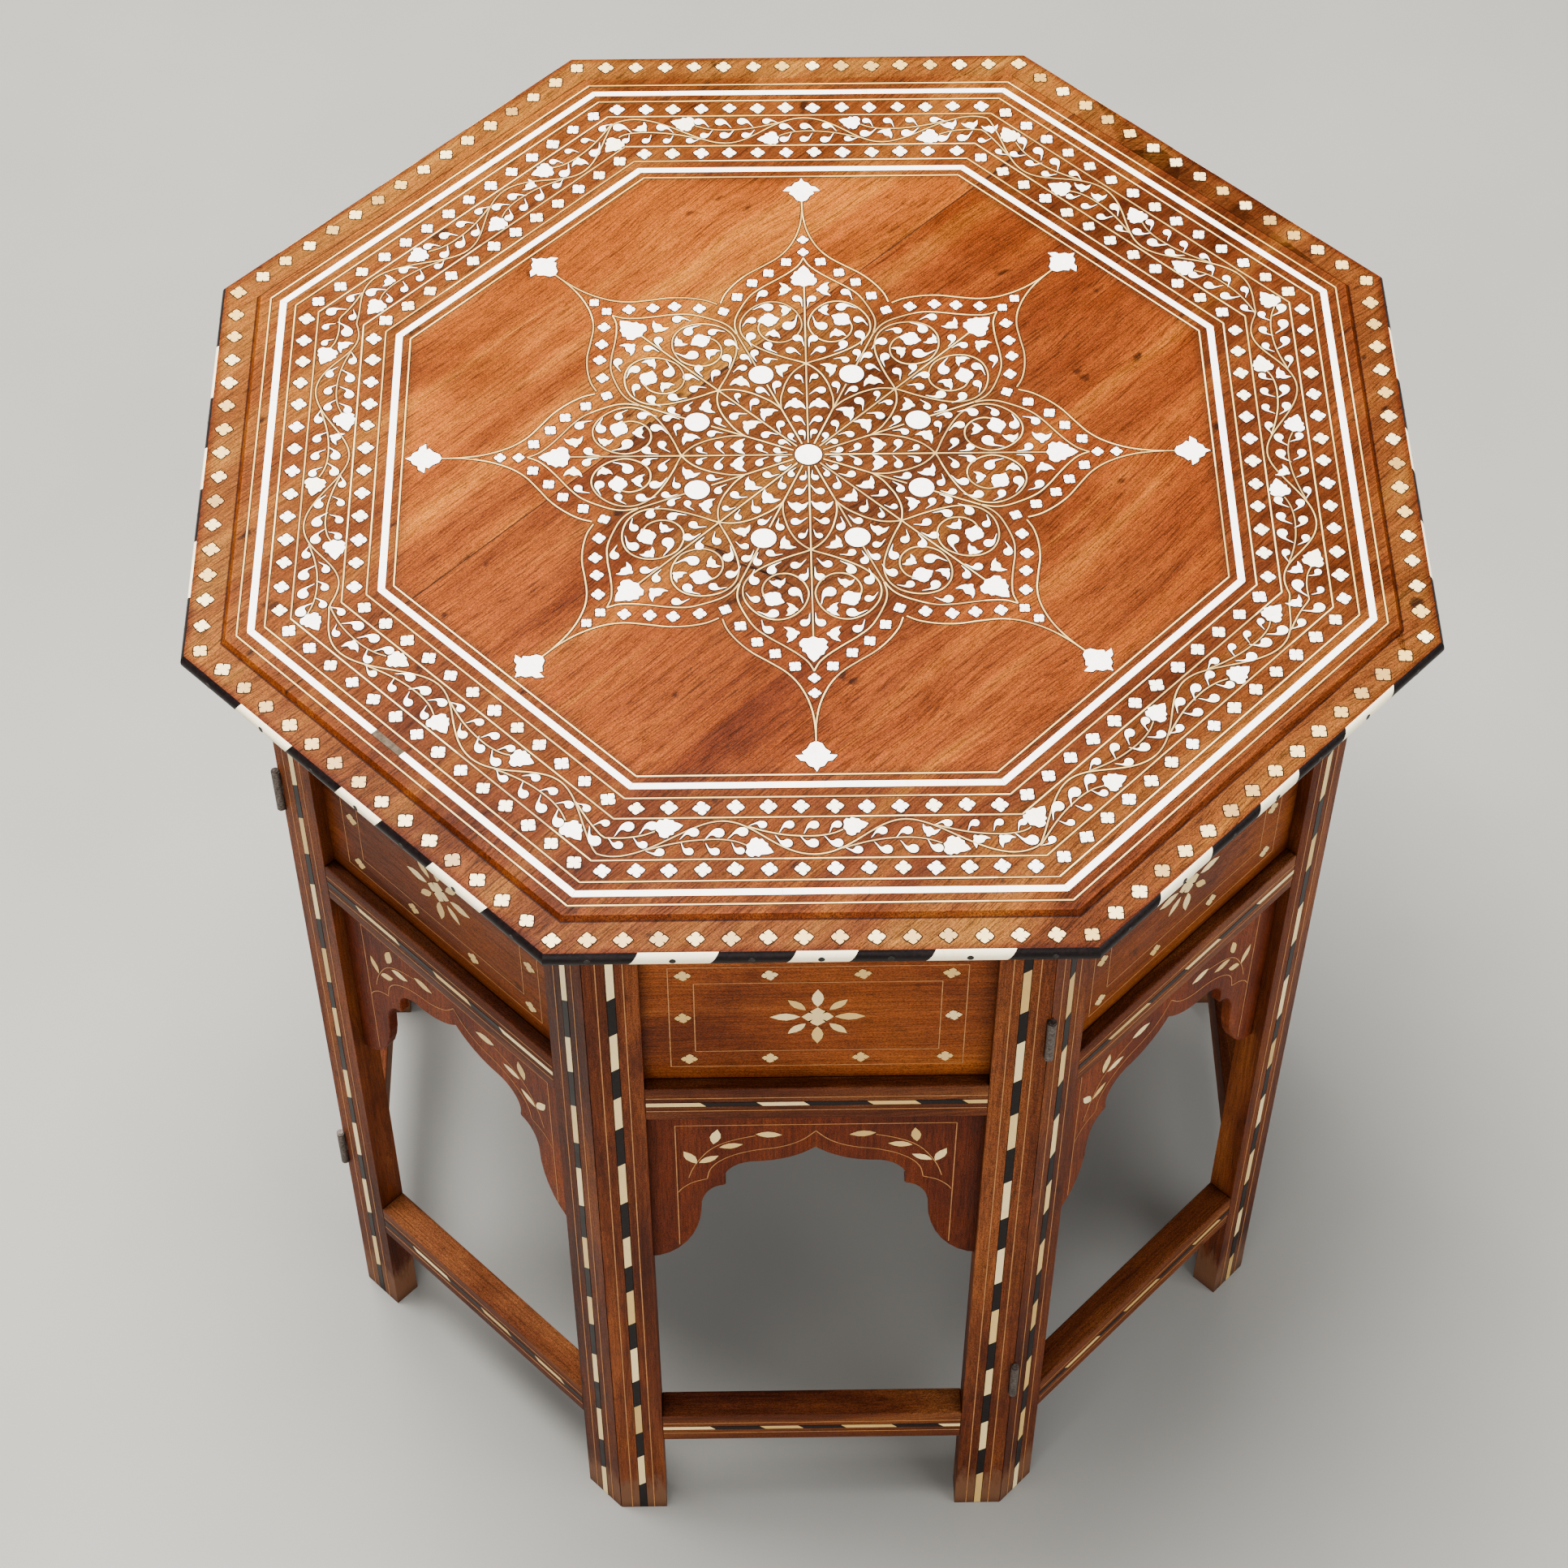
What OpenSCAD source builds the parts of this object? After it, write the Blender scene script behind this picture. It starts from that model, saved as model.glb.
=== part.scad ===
// Octagonal side table: an inlaid top that lifts off a base of eight hinged, framed panels.
// Frame: millimetres, +Z up, origin on the floor under the middle of the top, front faces -Y.

/* [Overall] */
// Width of the top across two opposite flat sides
top_across = 600; // [480:5:700]
// Height of the raised field of the top above the floor
table_height = 608.5; // [500:0.5:700]

/* [Top] */
// Thickness of the top, from its underside to its raised field
top_thick = 16; // [14:0.5:20]
// Height of the raised field above the outer band
field_rise = 2.5; // [1:0.5:3]
// Width of the lower outer band, edging included
outer_band_w = 19.4; // [14:0.2:30]
// Height of the half-round edging
edging_h = 8.5; // [6:0.5:10]
// How far the edging stands out from the boards' edge
edging_out = 2; // [1.5:0.1:4]
// How far the inlay stands proud of the raised field
inlay_proud = 0.15; // [0.05:0.05:0.3]
// Distance from the middle to the inner broad bone band
inner_band_at = 206.4; // [190:0.2:215]
// Distance from the middle to the outer broad bone band
outer_band_at = 267; // [240:0.2:272]
// Width of a broad bone band
bone_band_w = 3.5; // [2:0.1:6]
// Offset of the glue joint between the two top boards, square to the joint
board_joint_at = 70.7; // [40:0.1:120]

/* [Base] */
// Distance from the middle of the base to a panel's outer face
base_reach = 266.1; // [240:0.1:275]
// Thickness of the panel frames
frame_t = 16; // [14:0.5:20]
// Width of a stile on its outer face
stile_w = 26.4; // [22:0.2:32]
// Height of each rail
rail_h = 27; // [22:0.5:32]
// Height of the stretcher's underside above the floor
stretcher_z = 83; // [60:1:120]
// Height of the middle rail's underside above the floor
mid_rail_z = 418; // [380:1:440]
// Thickness of the frieze board and the arch board
board_t = 6; // [5:0.5:7]
// Depth from a panel's outer face to the face of its boards
board_in = 7; // [5:0.5:7.5]

/* [Hinges] */
// Length of a hinge
hinge_len = 30; // [26:1:44]
// Height of the middle of the lower hinges
low_hinge_z = 150; // [130:1:200]
// Height of the middle of the upper hinges
high_hinge_z = 486; // [465:1:520]
// Outer radius of the hinge barrel
barrel_r = 2.25; // [2:0.05:2.5]
// Radius of the hinge pin
pin_r = 1; // [0.8:0.05:1.1]

/* [Hidden] */
SIDES = 8;
HALF_SIDE = 180 / SIDES;
PANELS = ["front", "right_front", "right", "right_back", "back", "left_back", "left", "left_front"];
PANEL_PIECES = ["left_stile", "right_stile", "rails", "frieze_board", "arch_board", "hinges"];
TOP_PIECES = ["top_board_left", "top_board_right", "top_battens", "edging_ebony", "edging_bone",
              "edging_pins", "inner_bone_band", "outer_bone_band"];

EPS = 0.01;
ROUND_FN = 48;

// Heights and reaches of the top
top_reach = top_across / 2;
top_under_z = table_height - top_thick;
field_z = table_height - inlay_proud;
band_z = table_height - field_rise;
field_reach = top_reach - outer_band_w;
edging_r = (edging_h * edging_h / 4 + edging_out * edging_out) / (2 * edging_out);
edging_low_z = band_z - edging_h;
edging_axis_reach = top_reach - edging_r;
board_reach = top_reach - edging_out;
field_slope = 1.8;
underside_chamfer = 4;
inlay_t = 1.2;
band_joint = 0.3;

// Sliding battens let in flush under the top, across the grain
grain_turn = 45;
batten_len = 440;
batten_half_top = 25;
batten_half_low = 22;
batten_h = 7;
batten_at = 125;

// Edging: lengths of the pieces along one side, ebony first, bone every second one
corner_ebony = 40;
side_bone = 36;
side_ebony = 34.5;
side_len = 2 * top_reach * tan(HALF_SIDE);
middle_bone = side_len - 2 * (corner_ebony + side_bone + side_ebony);
edging_ends = [0, corner_ebony, corner_ebony + side_bone, corner_ebony + side_bone + side_ebony,
               corner_ebony + side_bone + side_ebony + middle_bone,
               side_len - corner_ebony - side_bone, side_len - corner_ebony, side_len];
scarf = 6.5;
edging_pin_r = 1.6;
edging_pin_len = edging_out - 0.1;

// Base panels
top_gap = 0.25;
base_h = top_under_z - top_gap;
panel_gap = 0.4;
half_panel = base_reach * tan(HALF_SIDE);
mitre_x = half_panel - panel_gap / 2 / cos(HALF_SIDE);
mitre_in = frame_t * tan(HALF_SIDE);
open_half = half_panel - stile_w;
face_y = -base_reach;
tongue = 5;
tenon_l = 13;
tenon_shoulder = 3;
top_rail_z = base_h - rail_h;
mid_rail_top = mid_rail_z + rail_h;

// Cusped arch: a keel at the peak, two foils, then a long curve to the stile
arch_peak_z = 380;
foil_x = 30;
foil_r = 16;
foil_top_z = 367;
keel_drop = arch_peak_z - foil_top_z;
keel_r = (foil_x * foil_x + keel_drop * keel_drop) / (2 * keel_drop);
small_foil_x = 46.2;
small_foil_w = 11.8;
small_foil_h = 20.6;
haunch_x = 86;
haunch_z = 324;
haunch_w = 28;
haunch_h = 49.5;
ARC_STEPS = 8;

// Hinges
corner_r = base_reach / cos(HALF_SIDE);
inner_corner_r = (base_reach - frame_t) / cos(HALF_SIDE);
barrel_off = 1.4;
notch_r = barrel_r + 0.45;
notch_over = 1.2;
leaf_t = 1;
leaf_w = 11;
pin_play = 0.05;
knuckle_play = 0.15;
knuckle_end = 11;
tab_start = 1.5;
pin_head_r = 1.7;
pin_head_h = 0.7;
screw_r = 1.2;
screw_len = 7;
screw_at = 6;
screw_inset = 8;

function arc(x, z, rx, rz, from, to) =
    [for (i = [0 : ARC_STEPS]) let (a = from + (to - from) * i / ARC_STEPS) [x + rx * cos(a), z + rz * sin(a)]];

// One half of the arch opening, from the peak down to the foot of the haunch
keel_start = 180 + acos(foil_x / keel_r);
half_arch = concat(
    arc(foil_x, foil_top_z + keel_r, keel_r, keel_r, keel_start, 270),
    arc(foil_x, foil_top_z - foil_r, foil_r, foil_r, 80, -18),
    arc(small_foil_x, haunch_z, small_foil_w, small_foil_h, 90, 0),
    arc(haunch_x, haunch_z, haunch_w, haunch_h, 180, 270));
arch_low_z = haunch_z - haunch_h;

// ---------- Top ----------

module octagon(reach, h) {
    rotate([0, 0, HALF_SIDE]) cylinder(r = reach / cos(HALF_SIDE), h = h, $fn = SIDES);
}

module each_side() {
    for (k = [0 : SIDES - 1]) rotate([0, 0, k * 360 / SIDES]) children();
}

// A bar along one side whose section is given as [distance from the middle, height] points
module side_bar(section) {
    rotate([90, 0, 90]) linear_extrude(height = side_len + 20, center = true)
        polygon([for (p = section) [-p[0], p[1]]]);
}

module batten(grow = 0) {
    rotate([90, 0, 0]) linear_extrude(height = batten_len, center = true)
        polygon([[-batten_half_low, top_under_z - grow], [batten_half_low, top_under_z - grow],
                 [batten_half_top, top_under_z + batten_h], [-batten_half_top, top_under_z + batten_h]]);
}

module both_battens(grow = 0) {
    rotate([0, 0, grain_turn]) for (s = [-1, 1]) translate([s * batten_at, 0, 0]) batten(grow);
}

module band_groove(at) {
    translate([0, 0, field_z - inlay_t]) difference() {
        octagon(at + bone_band_w / 2, inlay_t + 1);
        translate([0, 0, -1]) octagon(at - bone_band_w / 2, inlay_t + 3);
    }
}

module top_slab() {
    difference() {
        translate([0, 0, top_under_z]) octagon(board_reach, top_thick - inlay_proud);
        each_side() side_bar([[field_reach - field_slope, field_z + EPS], [field_reach, band_z],
                              [top_reach, band_z], [top_reach, field_z + EPS]]);
        each_side() side_bar([[board_reach - underside_chamfer, top_under_z - EPS],
                              [board_reach + EPS, edging_low_z], [top_reach, top_under_z - EPS]]);
        both_battens(1);
        band_groove(inner_band_at);
        band_groove(outer_band_at);
    }
}

// Everything on the left (+1) or right (-1) of the glue joint
module joint_side(side) {
    rotate([0, 0, grain_turn]) translate([-400, side > 0 ? board_joint_at : board_joint_at - 800, 0])
        cube([800, 800, table_height + 10]);
}

module top_board_left() {
    color("peru") intersection() {
        top_slab();
        joint_side(1);
    }
}

module top_board_right() {
    color("sienna") intersection() {
        top_slab();
        joint_side(-1);
    }
}

module top_battens() {
    color("saddlebrown") both_battens();
}

module edging_bar() {
    intersection() {
        translate([0, -edging_axis_reach, edging_low_z + edging_h / 2]) rotate([0, 90, 0])
            cylinder(r = edging_r, h = side_len + 10, center = true, $fn = ROUND_FN);
        translate([-side_len / 2 - 5, -top_reach - 1, edging_low_z])
            cube([side_len + 10, edging_out + 1, edging_h]);
    }
}

// Wedge of the plan that belongs to the front side, between its two corner mitres
module front_wedge() {
    linear_extrude(height = table_height + 10)
        polygon([[0, 0], [-side_len, -2 * top_reach], [side_len, -2 * top_reach]]);
}

// A pin through the edging. The hole for it runs on past its head, through the outer face.
module edging_pin(x, past = 0) {
    translate([x, -board_reach - edging_pin_len - past, edging_low_z + edging_h / 2]) rotate([-90, 0, 0])
        cylinder(r = edging_pin_r, h = edging_pin_len + past, $fn = ROUND_FN);
}

// One edging piece: a slanted scarf where it meets its neighbour, and a mitre at the corner
module edging_piece(i) {
    lean_a = i == 0 ? 0 : -scarf;
    lean_b = i == 6 ? 0 : -scarf;
    x0 = edging_ends[i] - side_len / 2 - (i == 0 ? 5 : 0);
    x1 = edging_ends[i + 1] - side_len / 2 + (i == 6 ? 5 : 0);
    difference() {
        intersection() {
            edging_bar();
            front_wedge();
            rotate([90, 0, 0]) linear_extrude(height = top_reach + 10)
                polygon([[x0 + lean_a / 2, edging_low_z - 1], [x1 + lean_b / 2, edging_low_z - 1],
                         [x1 - lean_b / 2, band_z + 1], [x0 - lean_a / 2, band_z + 1]]);
        }
        edging_pin((edging_ends[i] + edging_ends[i + 1]) / 2 - side_len / 2, 1);
    }
}

module edging_ebony() {
    color("#241c18") each_side() for (i = [0 : 2 : 6]) edging_piece(i);
}

module edging_bone() {
    color("ivory") each_side() for (i = [1 : 2 : 5]) edging_piece(i);
}

module edging_pins() {
    color("dimgray") each_side() for (i = [0 : 6])
        edging_pin((edging_ends[i] + edging_ends[i + 1]) / 2 - side_len / 2);
}

// Eight mitred bone strips let into the top
module bone_band(at) {
    a = at - bone_band_w / 2;
    b = at + bone_band_w / 2;
    cut = band_joint / 2;
    each_side() translate([0, 0, field_z - inlay_t]) linear_extrude(height = inlay_t + inlay_proud)
        polygon([[-a * tan(HALF_SIDE) + cut, -a], [a * tan(HALF_SIDE) - cut, -a],
                 [b * tan(HALF_SIDE) - cut, -b], [-b * tan(HALF_SIDE) + cut, -b]]);
}

module inner_bone_band() {
    color("ivory") bone_band(inner_band_at);
}

module outer_bone_band() {
    color("ivory") bone_band(outer_band_at);
}

// ---------- Hinges ----------

// In the corner frame +X points away from the middle of the table, and the panel lies at -Y.
// In the hinge frame the barrel stands on the origin and the leaf runs off along +X.
module at_right_corner(outside) {
    barrel_at = outside ? corner_r + barrel_off : inner_corner_r - barrel_off;
    rotate([0, 0, HALF_SIDE - 90]) translate([barrel_at, 0, 0]) mirror([outside ? 1 : 0, 0, 0]) children();
}

module at_left_corner(outside) {
    mirror([1, 0, 0]) at_right_corner(outside) children();
}

module at_both_heights() {
    for (z = [low_hinge_z, high_hinge_z]) translate([0, 0, z - hinge_len / 2]) children();
}

module leaf_recess() {
    translate([tab_start, -panel_gap / 2 - leaf_t, 0])
        cube([notch_r - tab_start + leaf_w, leaf_t + 1, hinge_len]);
    translate([0, 0, -notch_over]) cylinder(r = notch_r, h = hinge_len + 2 * notch_over, $fn = ROUND_FN);
}

module screw() {
    rotate([90, 0, 0]) translate([0, 0, panel_gap / 2]) cylinder(r = screw_r, h = screw_len, $fn = ROUND_FN);
}

module leaf_screws() {
    for (z = [screw_inset, hinge_len - screw_inset]) translate([notch_r + screw_at, 0, z]) screw();
}

module knuckle(z, h) {
    translate([0, 0, z]) cylinder(r = barrel_r, h = h, $fn = ROUND_FN);
    translate([tab_start, -panel_gap / 2 - leaf_t, z]) cube([notch_r - tab_start + EPS, leaf_t, h]);
}

module leaf_plate() {
    translate([notch_r, -panel_gap / 2 - leaf_t, 0]) cube([leaf_w, leaf_t, hinge_len]);
}

// The leaf with the two outer knuckles
module outer_leaf() {
    difference() {
        union() {
            leaf_plate();
            knuckle(0, knuckle_end);
            knuckle(hinge_len - knuckle_end, knuckle_end);
        }
        translate([0, 0, -1]) cylinder(r = pin_r + pin_play, h = hinge_len + 2, $fn = ROUND_FN);
        leaf_screws();
    }
}

// The leaf with the middle knuckle
module middle_leaf() {
    difference() {
        union() {
            leaf_plate();
            knuckle(knuckle_end + knuckle_play, hinge_len - 2 * (knuckle_end + knuckle_play));
        }
        translate([0, 0, -1]) cylinder(r = pin_r + pin_play, h = hinge_len + 2, $fn = ROUND_FN);
        leaf_screws();
    }
}

// Pin with a riveted head at each end, resting on the outer knuckles
module hinge_pin() {
    cylinder(r = pin_r, h = hinge_len, $fn = ROUND_FN);
    translate([0, 0, hinge_len]) cylinder(r = pin_head_r, h = pin_head_h, $fn = ROUND_FN);
    translate([0, 0, -pin_head_h]) cylinder(r = pin_head_r, h = pin_head_h, $fn = ROUND_FN);
}

// A panel carries the outer leaf and the pin on its right, and the middle leaf on its left
module hinges(outside_right) {
    color("#5a4a40") {
        at_right_corner(outside_right) at_both_heights() {
            outer_leaf();
            hinge_pin();
            leaf_screws();
        }
        at_left_corner(!outside_right) at_both_heights() {
            middle_leaf();
            leaf_screws();
        }
    }
}

// ---------- Base panels ----------

module tenon_socket(z) {
    translate([open_half - EPS, face_y + board_in, z + tenon_shoulder])
        cube([tenon_l + EPS, board_t, rail_h - 2 * tenon_shoulder]);
}

module stile_blank() {
    linear_extrude(height = base_h)
        polygon([[open_half, face_y], [mitre_x, face_y], [mitre_x - mitre_in, face_y + frame_t],
                 [open_half, face_y + frame_t]]);
}

// Right-hand stile: mitred edge, board groove, mortises and hinge recesses
module stile(outside) {
    difference() {
        stile_blank();
        translate([open_half - EPS, face_y + board_in, arch_low_z])
            cube([tongue + EPS, board_t, top_rail_z + tongue - arch_low_z]);
        tenon_socket(stretcher_z);
        tenon_socket(mid_rail_z);
        tenon_socket(top_rail_z);
        at_right_corner(outside) at_both_heights() {
            leaf_recess();
            leaf_screws();
        }
    }
}

module right_stile(outside) {
    color("saddlebrown") stile(outside);
}

module left_stile(outside) {
    color("saddlebrown") mirror([1, 0, 0]) stile(outside);
}

module rail(z, groove_low, groove_high) {
    difference() {
        union() {
            translate([-open_half, face_y, z]) cube([2 * open_half, frame_t, rail_h]);
            translate([-open_half - tenon_l, face_y + board_in, z + tenon_shoulder])
                cube([2 * (open_half + tenon_l), board_t, rail_h - 2 * tenon_shoulder]);
        }
        if (groove_low) translate([-open_half - tongue, face_y + board_in, z - EPS])
            cube([2 * (open_half + tongue), board_t, tongue + EPS]);
        if (groove_high) translate([-open_half - tongue, face_y + board_in, z + rail_h - tongue])
            cube([2 * (open_half + tongue), board_t, tongue + EPS]);
    }
}

module rails() {
    color("sienna") {
        rail(stretcher_z, false, false);
        rail(mid_rail_z, true, true);
        rail(top_rail_z, true, false);
    }
}

module frieze_board() {
    color("chocolate") translate([-open_half - tongue, face_y + board_in, mid_rail_top - tongue])
        cube([2 * (open_half + tongue), board_t, top_rail_z - mid_rail_top + 2 * tongue]);
}

module arch_board() {
    edge = open_half + tongue;
    right = concat(half_arch, [[edge, arch_low_z], [edge, mid_rail_z + tongue]]);
    left = [for (i = [len(right) - 1 : -1 : 1]) [-right[i][0], right[i][1]]];
    color("chocolate") translate([0, face_y + board_in + board_t, 0]) rotate([90, 0, 0])
        linear_extrude(height = board_t) polygon(concat(right, left));
}

module place(i) {
    rotate([0, 0, i * 360 / SIDES]) children();
}

// Hinge barrels stand outside on the right of every even panel, and inside on its left
for (i = [0 : SIDES - 1]) {
    out = i % 2 == 0;
    place(i) left_stile(!out);
    place(i) right_stile(out);
    place(i) rails();
    place(i) frieze_board();
    place(i) arch_board();
    place(i) hinges(out);
}
top_board_left();
top_board_right();
top_battens();
edging_ebony();
edging_bone();
edging_pins();
inner_bone_band();
outer_bone_band();
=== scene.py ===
"""Looks of an octagonal inlaid table with a folding base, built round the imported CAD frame."""
import math
import random

import bmesh
import bpy
from mathutils import Matrix, Vector


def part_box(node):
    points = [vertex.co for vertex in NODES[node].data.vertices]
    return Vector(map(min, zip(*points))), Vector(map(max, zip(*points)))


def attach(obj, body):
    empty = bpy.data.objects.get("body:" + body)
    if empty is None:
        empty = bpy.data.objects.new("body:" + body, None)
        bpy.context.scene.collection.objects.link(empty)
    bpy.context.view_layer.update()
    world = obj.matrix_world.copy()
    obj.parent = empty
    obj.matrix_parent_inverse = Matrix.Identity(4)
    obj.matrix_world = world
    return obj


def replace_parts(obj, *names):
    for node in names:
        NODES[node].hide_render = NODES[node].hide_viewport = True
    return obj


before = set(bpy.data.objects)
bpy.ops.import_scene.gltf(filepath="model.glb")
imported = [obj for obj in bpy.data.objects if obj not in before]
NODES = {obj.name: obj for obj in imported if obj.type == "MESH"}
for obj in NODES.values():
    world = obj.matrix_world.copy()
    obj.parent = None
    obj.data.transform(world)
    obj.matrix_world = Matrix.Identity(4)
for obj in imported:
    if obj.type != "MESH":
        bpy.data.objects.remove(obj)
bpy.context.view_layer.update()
MM = 0.001
SIDES = 8
TAN_HALF = math.tan(math.pi / SIDES)
PANELS = ["front", "right_front", "right", "right_back", "back", "left_back", "left", "left_front"]

# ---------------------------------------------------------------- sizes taken from the frame, in mm


def node_box(node):
    low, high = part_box(node)
    return low / MM, high / MM


BAND_Z = node_box("edging_ebony")[1].z
FIELD_Z = node_box("top_board_right")[1].z
BAND_IN = node_box("inner_bone_band")[1].x
BAND_OUT = node_box("outer_bone_band")[1].x
BASE_REACH = -node_box("front_rails")[0].y
BOARD_IN = BASE_REACH + node_box("front_frieze_board")[0].y
STILE_IN = node_box("front_right_stile")[0].x
STILE_OUT = node_box("front_right_stile")[1].x
BASE_H = node_box("front_right_stile")[1].z
# Middle heights of the stretcher, the middle rail and the top rail, and the middle line of a stile's blocks
RAIL_Z = [96.5, 431.5, BASE_H - 13.5]
STILE_MID = (STILE_IN + STILE_OUT) / 2 + 0.2

# How far bone and glue stand proud of the wood, how much that varies, and how deep the inlay is let in
BONE_PROUD = 0.14
GLUE_PROUD = 0.07
PROUD_SPREAD = 0.04
INLAY_DEEP = 0.5
# Width of the dark glue edge round a piece, by kind of piece
GLUE_GROW = 0.62
LEAF_GLUE = 0.6
LINE_GLUE = 0.5
BROAD_GLUE = 0.3
PANEL_GLUE = 0.2
STRING_GLUE = 0.12

# ---------------------------------------------------------------- camera, light and floor

# The camera was fitted to the corners of the octagonal top
CAMERA_AT = (-0.0321, -1.2099, 1.9018)
CAMERA_AIM = (-0.0132, -0.0831, 0.45)
CAMERA_LENS = 81.9
CAMERA_ROLL = math.radians(0.1)
SENSOR = 36.0


def make_camera():
    data = bpy.data.cameras.new("camera")
    data.lens = CAMERA_LENS
    data.sensor_width = SENSOR
    data.clip_end = 20
    camera = bpy.data.objects.new("camera", data)
    bpy.context.scene.collection.objects.link(camera)
    look = Vector(CAMERA_AIM) - Vector(CAMERA_AT)
    turn = look.to_track_quat("-Z", "Y").to_matrix().to_4x4() @ Matrix.Rotation(CAMERA_ROLL, 4, "Z")
    camera.matrix_world = Matrix.Translation(CAMERA_AT) @ turn
    bpy.context.scene.camera = camera


def add_area(name, place, aim, size, power, colour):
    data = bpy.data.lights.new(name, "AREA")
    data.shape = "RECTANGLE"
    data.size, data.size_y = size
    data.energy = power
    data.color = colour
    light = bpy.data.objects.new(name, data)
    bpy.context.scene.collection.objects.link(light)
    light.location = place
    light.rotation_euler = (Vector(aim) - Vector(place)).to_track_quat("-Z", "Y").to_euler()


# Each light: name, place, point that it faces, size, watts and colour
LIGHTS = (("key", (-0.55, 0.35, 3.3), (0, 0, 0.4), (1.9, 1.9), 560, (1.0, 0.985, 0.955)),
          ("fill", (1.9, -1.5, 1.7), (0, 0, 0.35), (2.0, 1.6), 60, (0.98, 0.99, 1.0)),
          ("front", (-0.7, -2.4, 1.0), (0, 0, 0.3), (2.0, 1.2), 45, (1.0, 0.98, 0.95)))
SKY_COLOUR = (0.95, 0.97, 1.0, 1)
SKY_STRENGTH = 0.33


def make_lights():
    for light in LIGHTS:
        add_area(*light)
    world = bpy.data.worlds.new("studio")
    bpy.context.scene.world = world
    world.use_nodes = True
    world.node_tree.nodes["Background"].inputs["Color"].default_value = SKY_COLOUR
    world.node_tree.nodes["Background"].inputs["Strength"].default_value = SKY_STRENGTH


# ---------------------------------------------------------------- materials


class Graph:
    """A short way to write a node tree: nodes are made by type, and inputs set by name or linked."""

    def __init__(self, name):
        self.material = bpy.data.materials.new(name)
        self.material.use_nodes = True
        self.tree = self.material.node_tree
        self.shader = self.tree.nodes["Principled BSDF"]

    def put(self, target, key, value):
        if isinstance(value, bpy.types.NodeSocket):
            self.tree.links.new(value, target.inputs[key])
        elif isinstance(value, (tuple, list)) and len(value) == 3 and target.inputs[key].type == "RGBA":
            target.inputs[key].default_value = (*value, 1)
        else:
            target.inputs[key].default_value = value

    def add(self, kind, inputs=None, **settings):
        made = self.tree.nodes.new("ShaderNode" + kind)
        for key, value in settings.items():
            setattr(made, key, value)
        for key, value in (inputs or {}).items():
            self.put(made, key, value)
        return made

    def attribute(self, name, output="Vector"):
        return self.add("Attribute", attribute_name=name).outputs[output]

    def scaled(self, vector, scale):
        return self.add("Mapping", {"Vector": vector, "Scale": scale}).outputs["Vector"]

    def noise(self, vector, scale, detail=3.0, rough=0.5, distortion=0.0):
        inputs = {"Vector": vector, "Scale": scale, "Detail": detail, "Roughness": rough,
                  "Distortion": distortion}
        return self.add("TexNoise", inputs).outputs["Fac"]

    def ramp(self, value, stops):
        made = self.add("ValToRGB", {"Fac": value})
        line = made.color_ramp
        while len(line.elements) < len(stops):
            line.elements.new(0.5)
        for element, (at, colour) in zip(line.elements, stops):
            element.position = at
            element.color = (*colour, 1) if isinstance(colour, tuple) else (colour, colour, colour, 1)
        return made.outputs["Color"]

    def mix(self, blend, factor, a, b):
        made = self.add("Mix", data_type="RGBA", blend_type=blend)
        self.put(made, 0, factor)
        self.put(made, 6, a)
        self.put(made, 7, b)
        return made.outputs[2]

    def bump(self, height, strength, distance, normal=None):
        inputs = {"Height": height, "Strength": strength, "Distance": distance}
        if normal is not None:
            inputs["Normal"] = normal
        return self.add("Bump", inputs).outputs["Normal"]

    def finish(self, **inputs):
        for key, value in inputs.items():
            self.put(self.shader, key.replace("_", " "), value)
        return self.material


WOOD_ROUGH = 0.42
WOOD_SPECULAR = 0.05


def octagon_reach(g, place):
    """Distance from the middle of the top, measured square to the nearest side."""
    parts = g.add("SeparateXYZ", {0: g.add("VectorMath", {0: place}, operation="ABSOLUTE").outputs[0]})
    x, y = parts.outputs["X"], parts.outputs["Y"]
    both = g.add("Math", {0: x, 1: y}, operation="ADD").outputs[0]
    slanted = g.add("Math", {0: both, 1: math.sqrt(0.5)}, operation="MULTIPLY").outputs[0]
    square = g.add("Math", {0: x, 1: y}, operation="MAXIMUM").outputs[0]
    return g.add("Math", {0: slanted, 1: square}, operation="MAXIMUM").outputs[0]


def age_and_shade_top(g, colour, place):
    """Colour of the top by distance from its middle: darker bands and rim with age, painted shade on the
    slope of the step, and a dark painted line of shade at the step's foot.
    """
    reach = octagon_reach(g, place)
    rim = g.add("MapRange", {"Value": reach, "From Min": 0.27, "From Max": 0.30}).outputs[0]
    # Darker towards the rim with age; painted shade on the slope of the step down to the outer band, and a
    # dark painted line of shade in the corner at its foot
    aged = g.ramp(rim, [(0.283, 1.0), (0.297, (0.68, 0.64, 0.8)), (0.345, (0.54, 0.50, 0.7)),
                        (0.355, (0.12, 0.09, 0.09)), (0.370, (0.12, 0.09, 0.09)),
                        (0.384, (0.70, 0.92, 1.8)), (0.80, (0.76, 1.02, 2.0)), (0.93, (0.42, 0.34, 0.34))])
    colour = g.mix("MULTIPLY", 1.0, colour, aged)
    whole = g.add("MapRange", {"Value": reach, "From Min": 0.0, "From Max": 0.30}).outputs[0]
    zones = g.ramp(whole, [(0.28, (0.66, 0.90, 1.55)), (0.42, (0.95, 0.97, 1.1)), (0.650, 1.0),
                           (0.668, (0.60, 0.66, 1.15)), (0.925, (0.60, 0.66, 1.15)), (0.932, 1.0)])
    return g.mix("MULTIPLY", 1.0, colour, zones)


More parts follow.
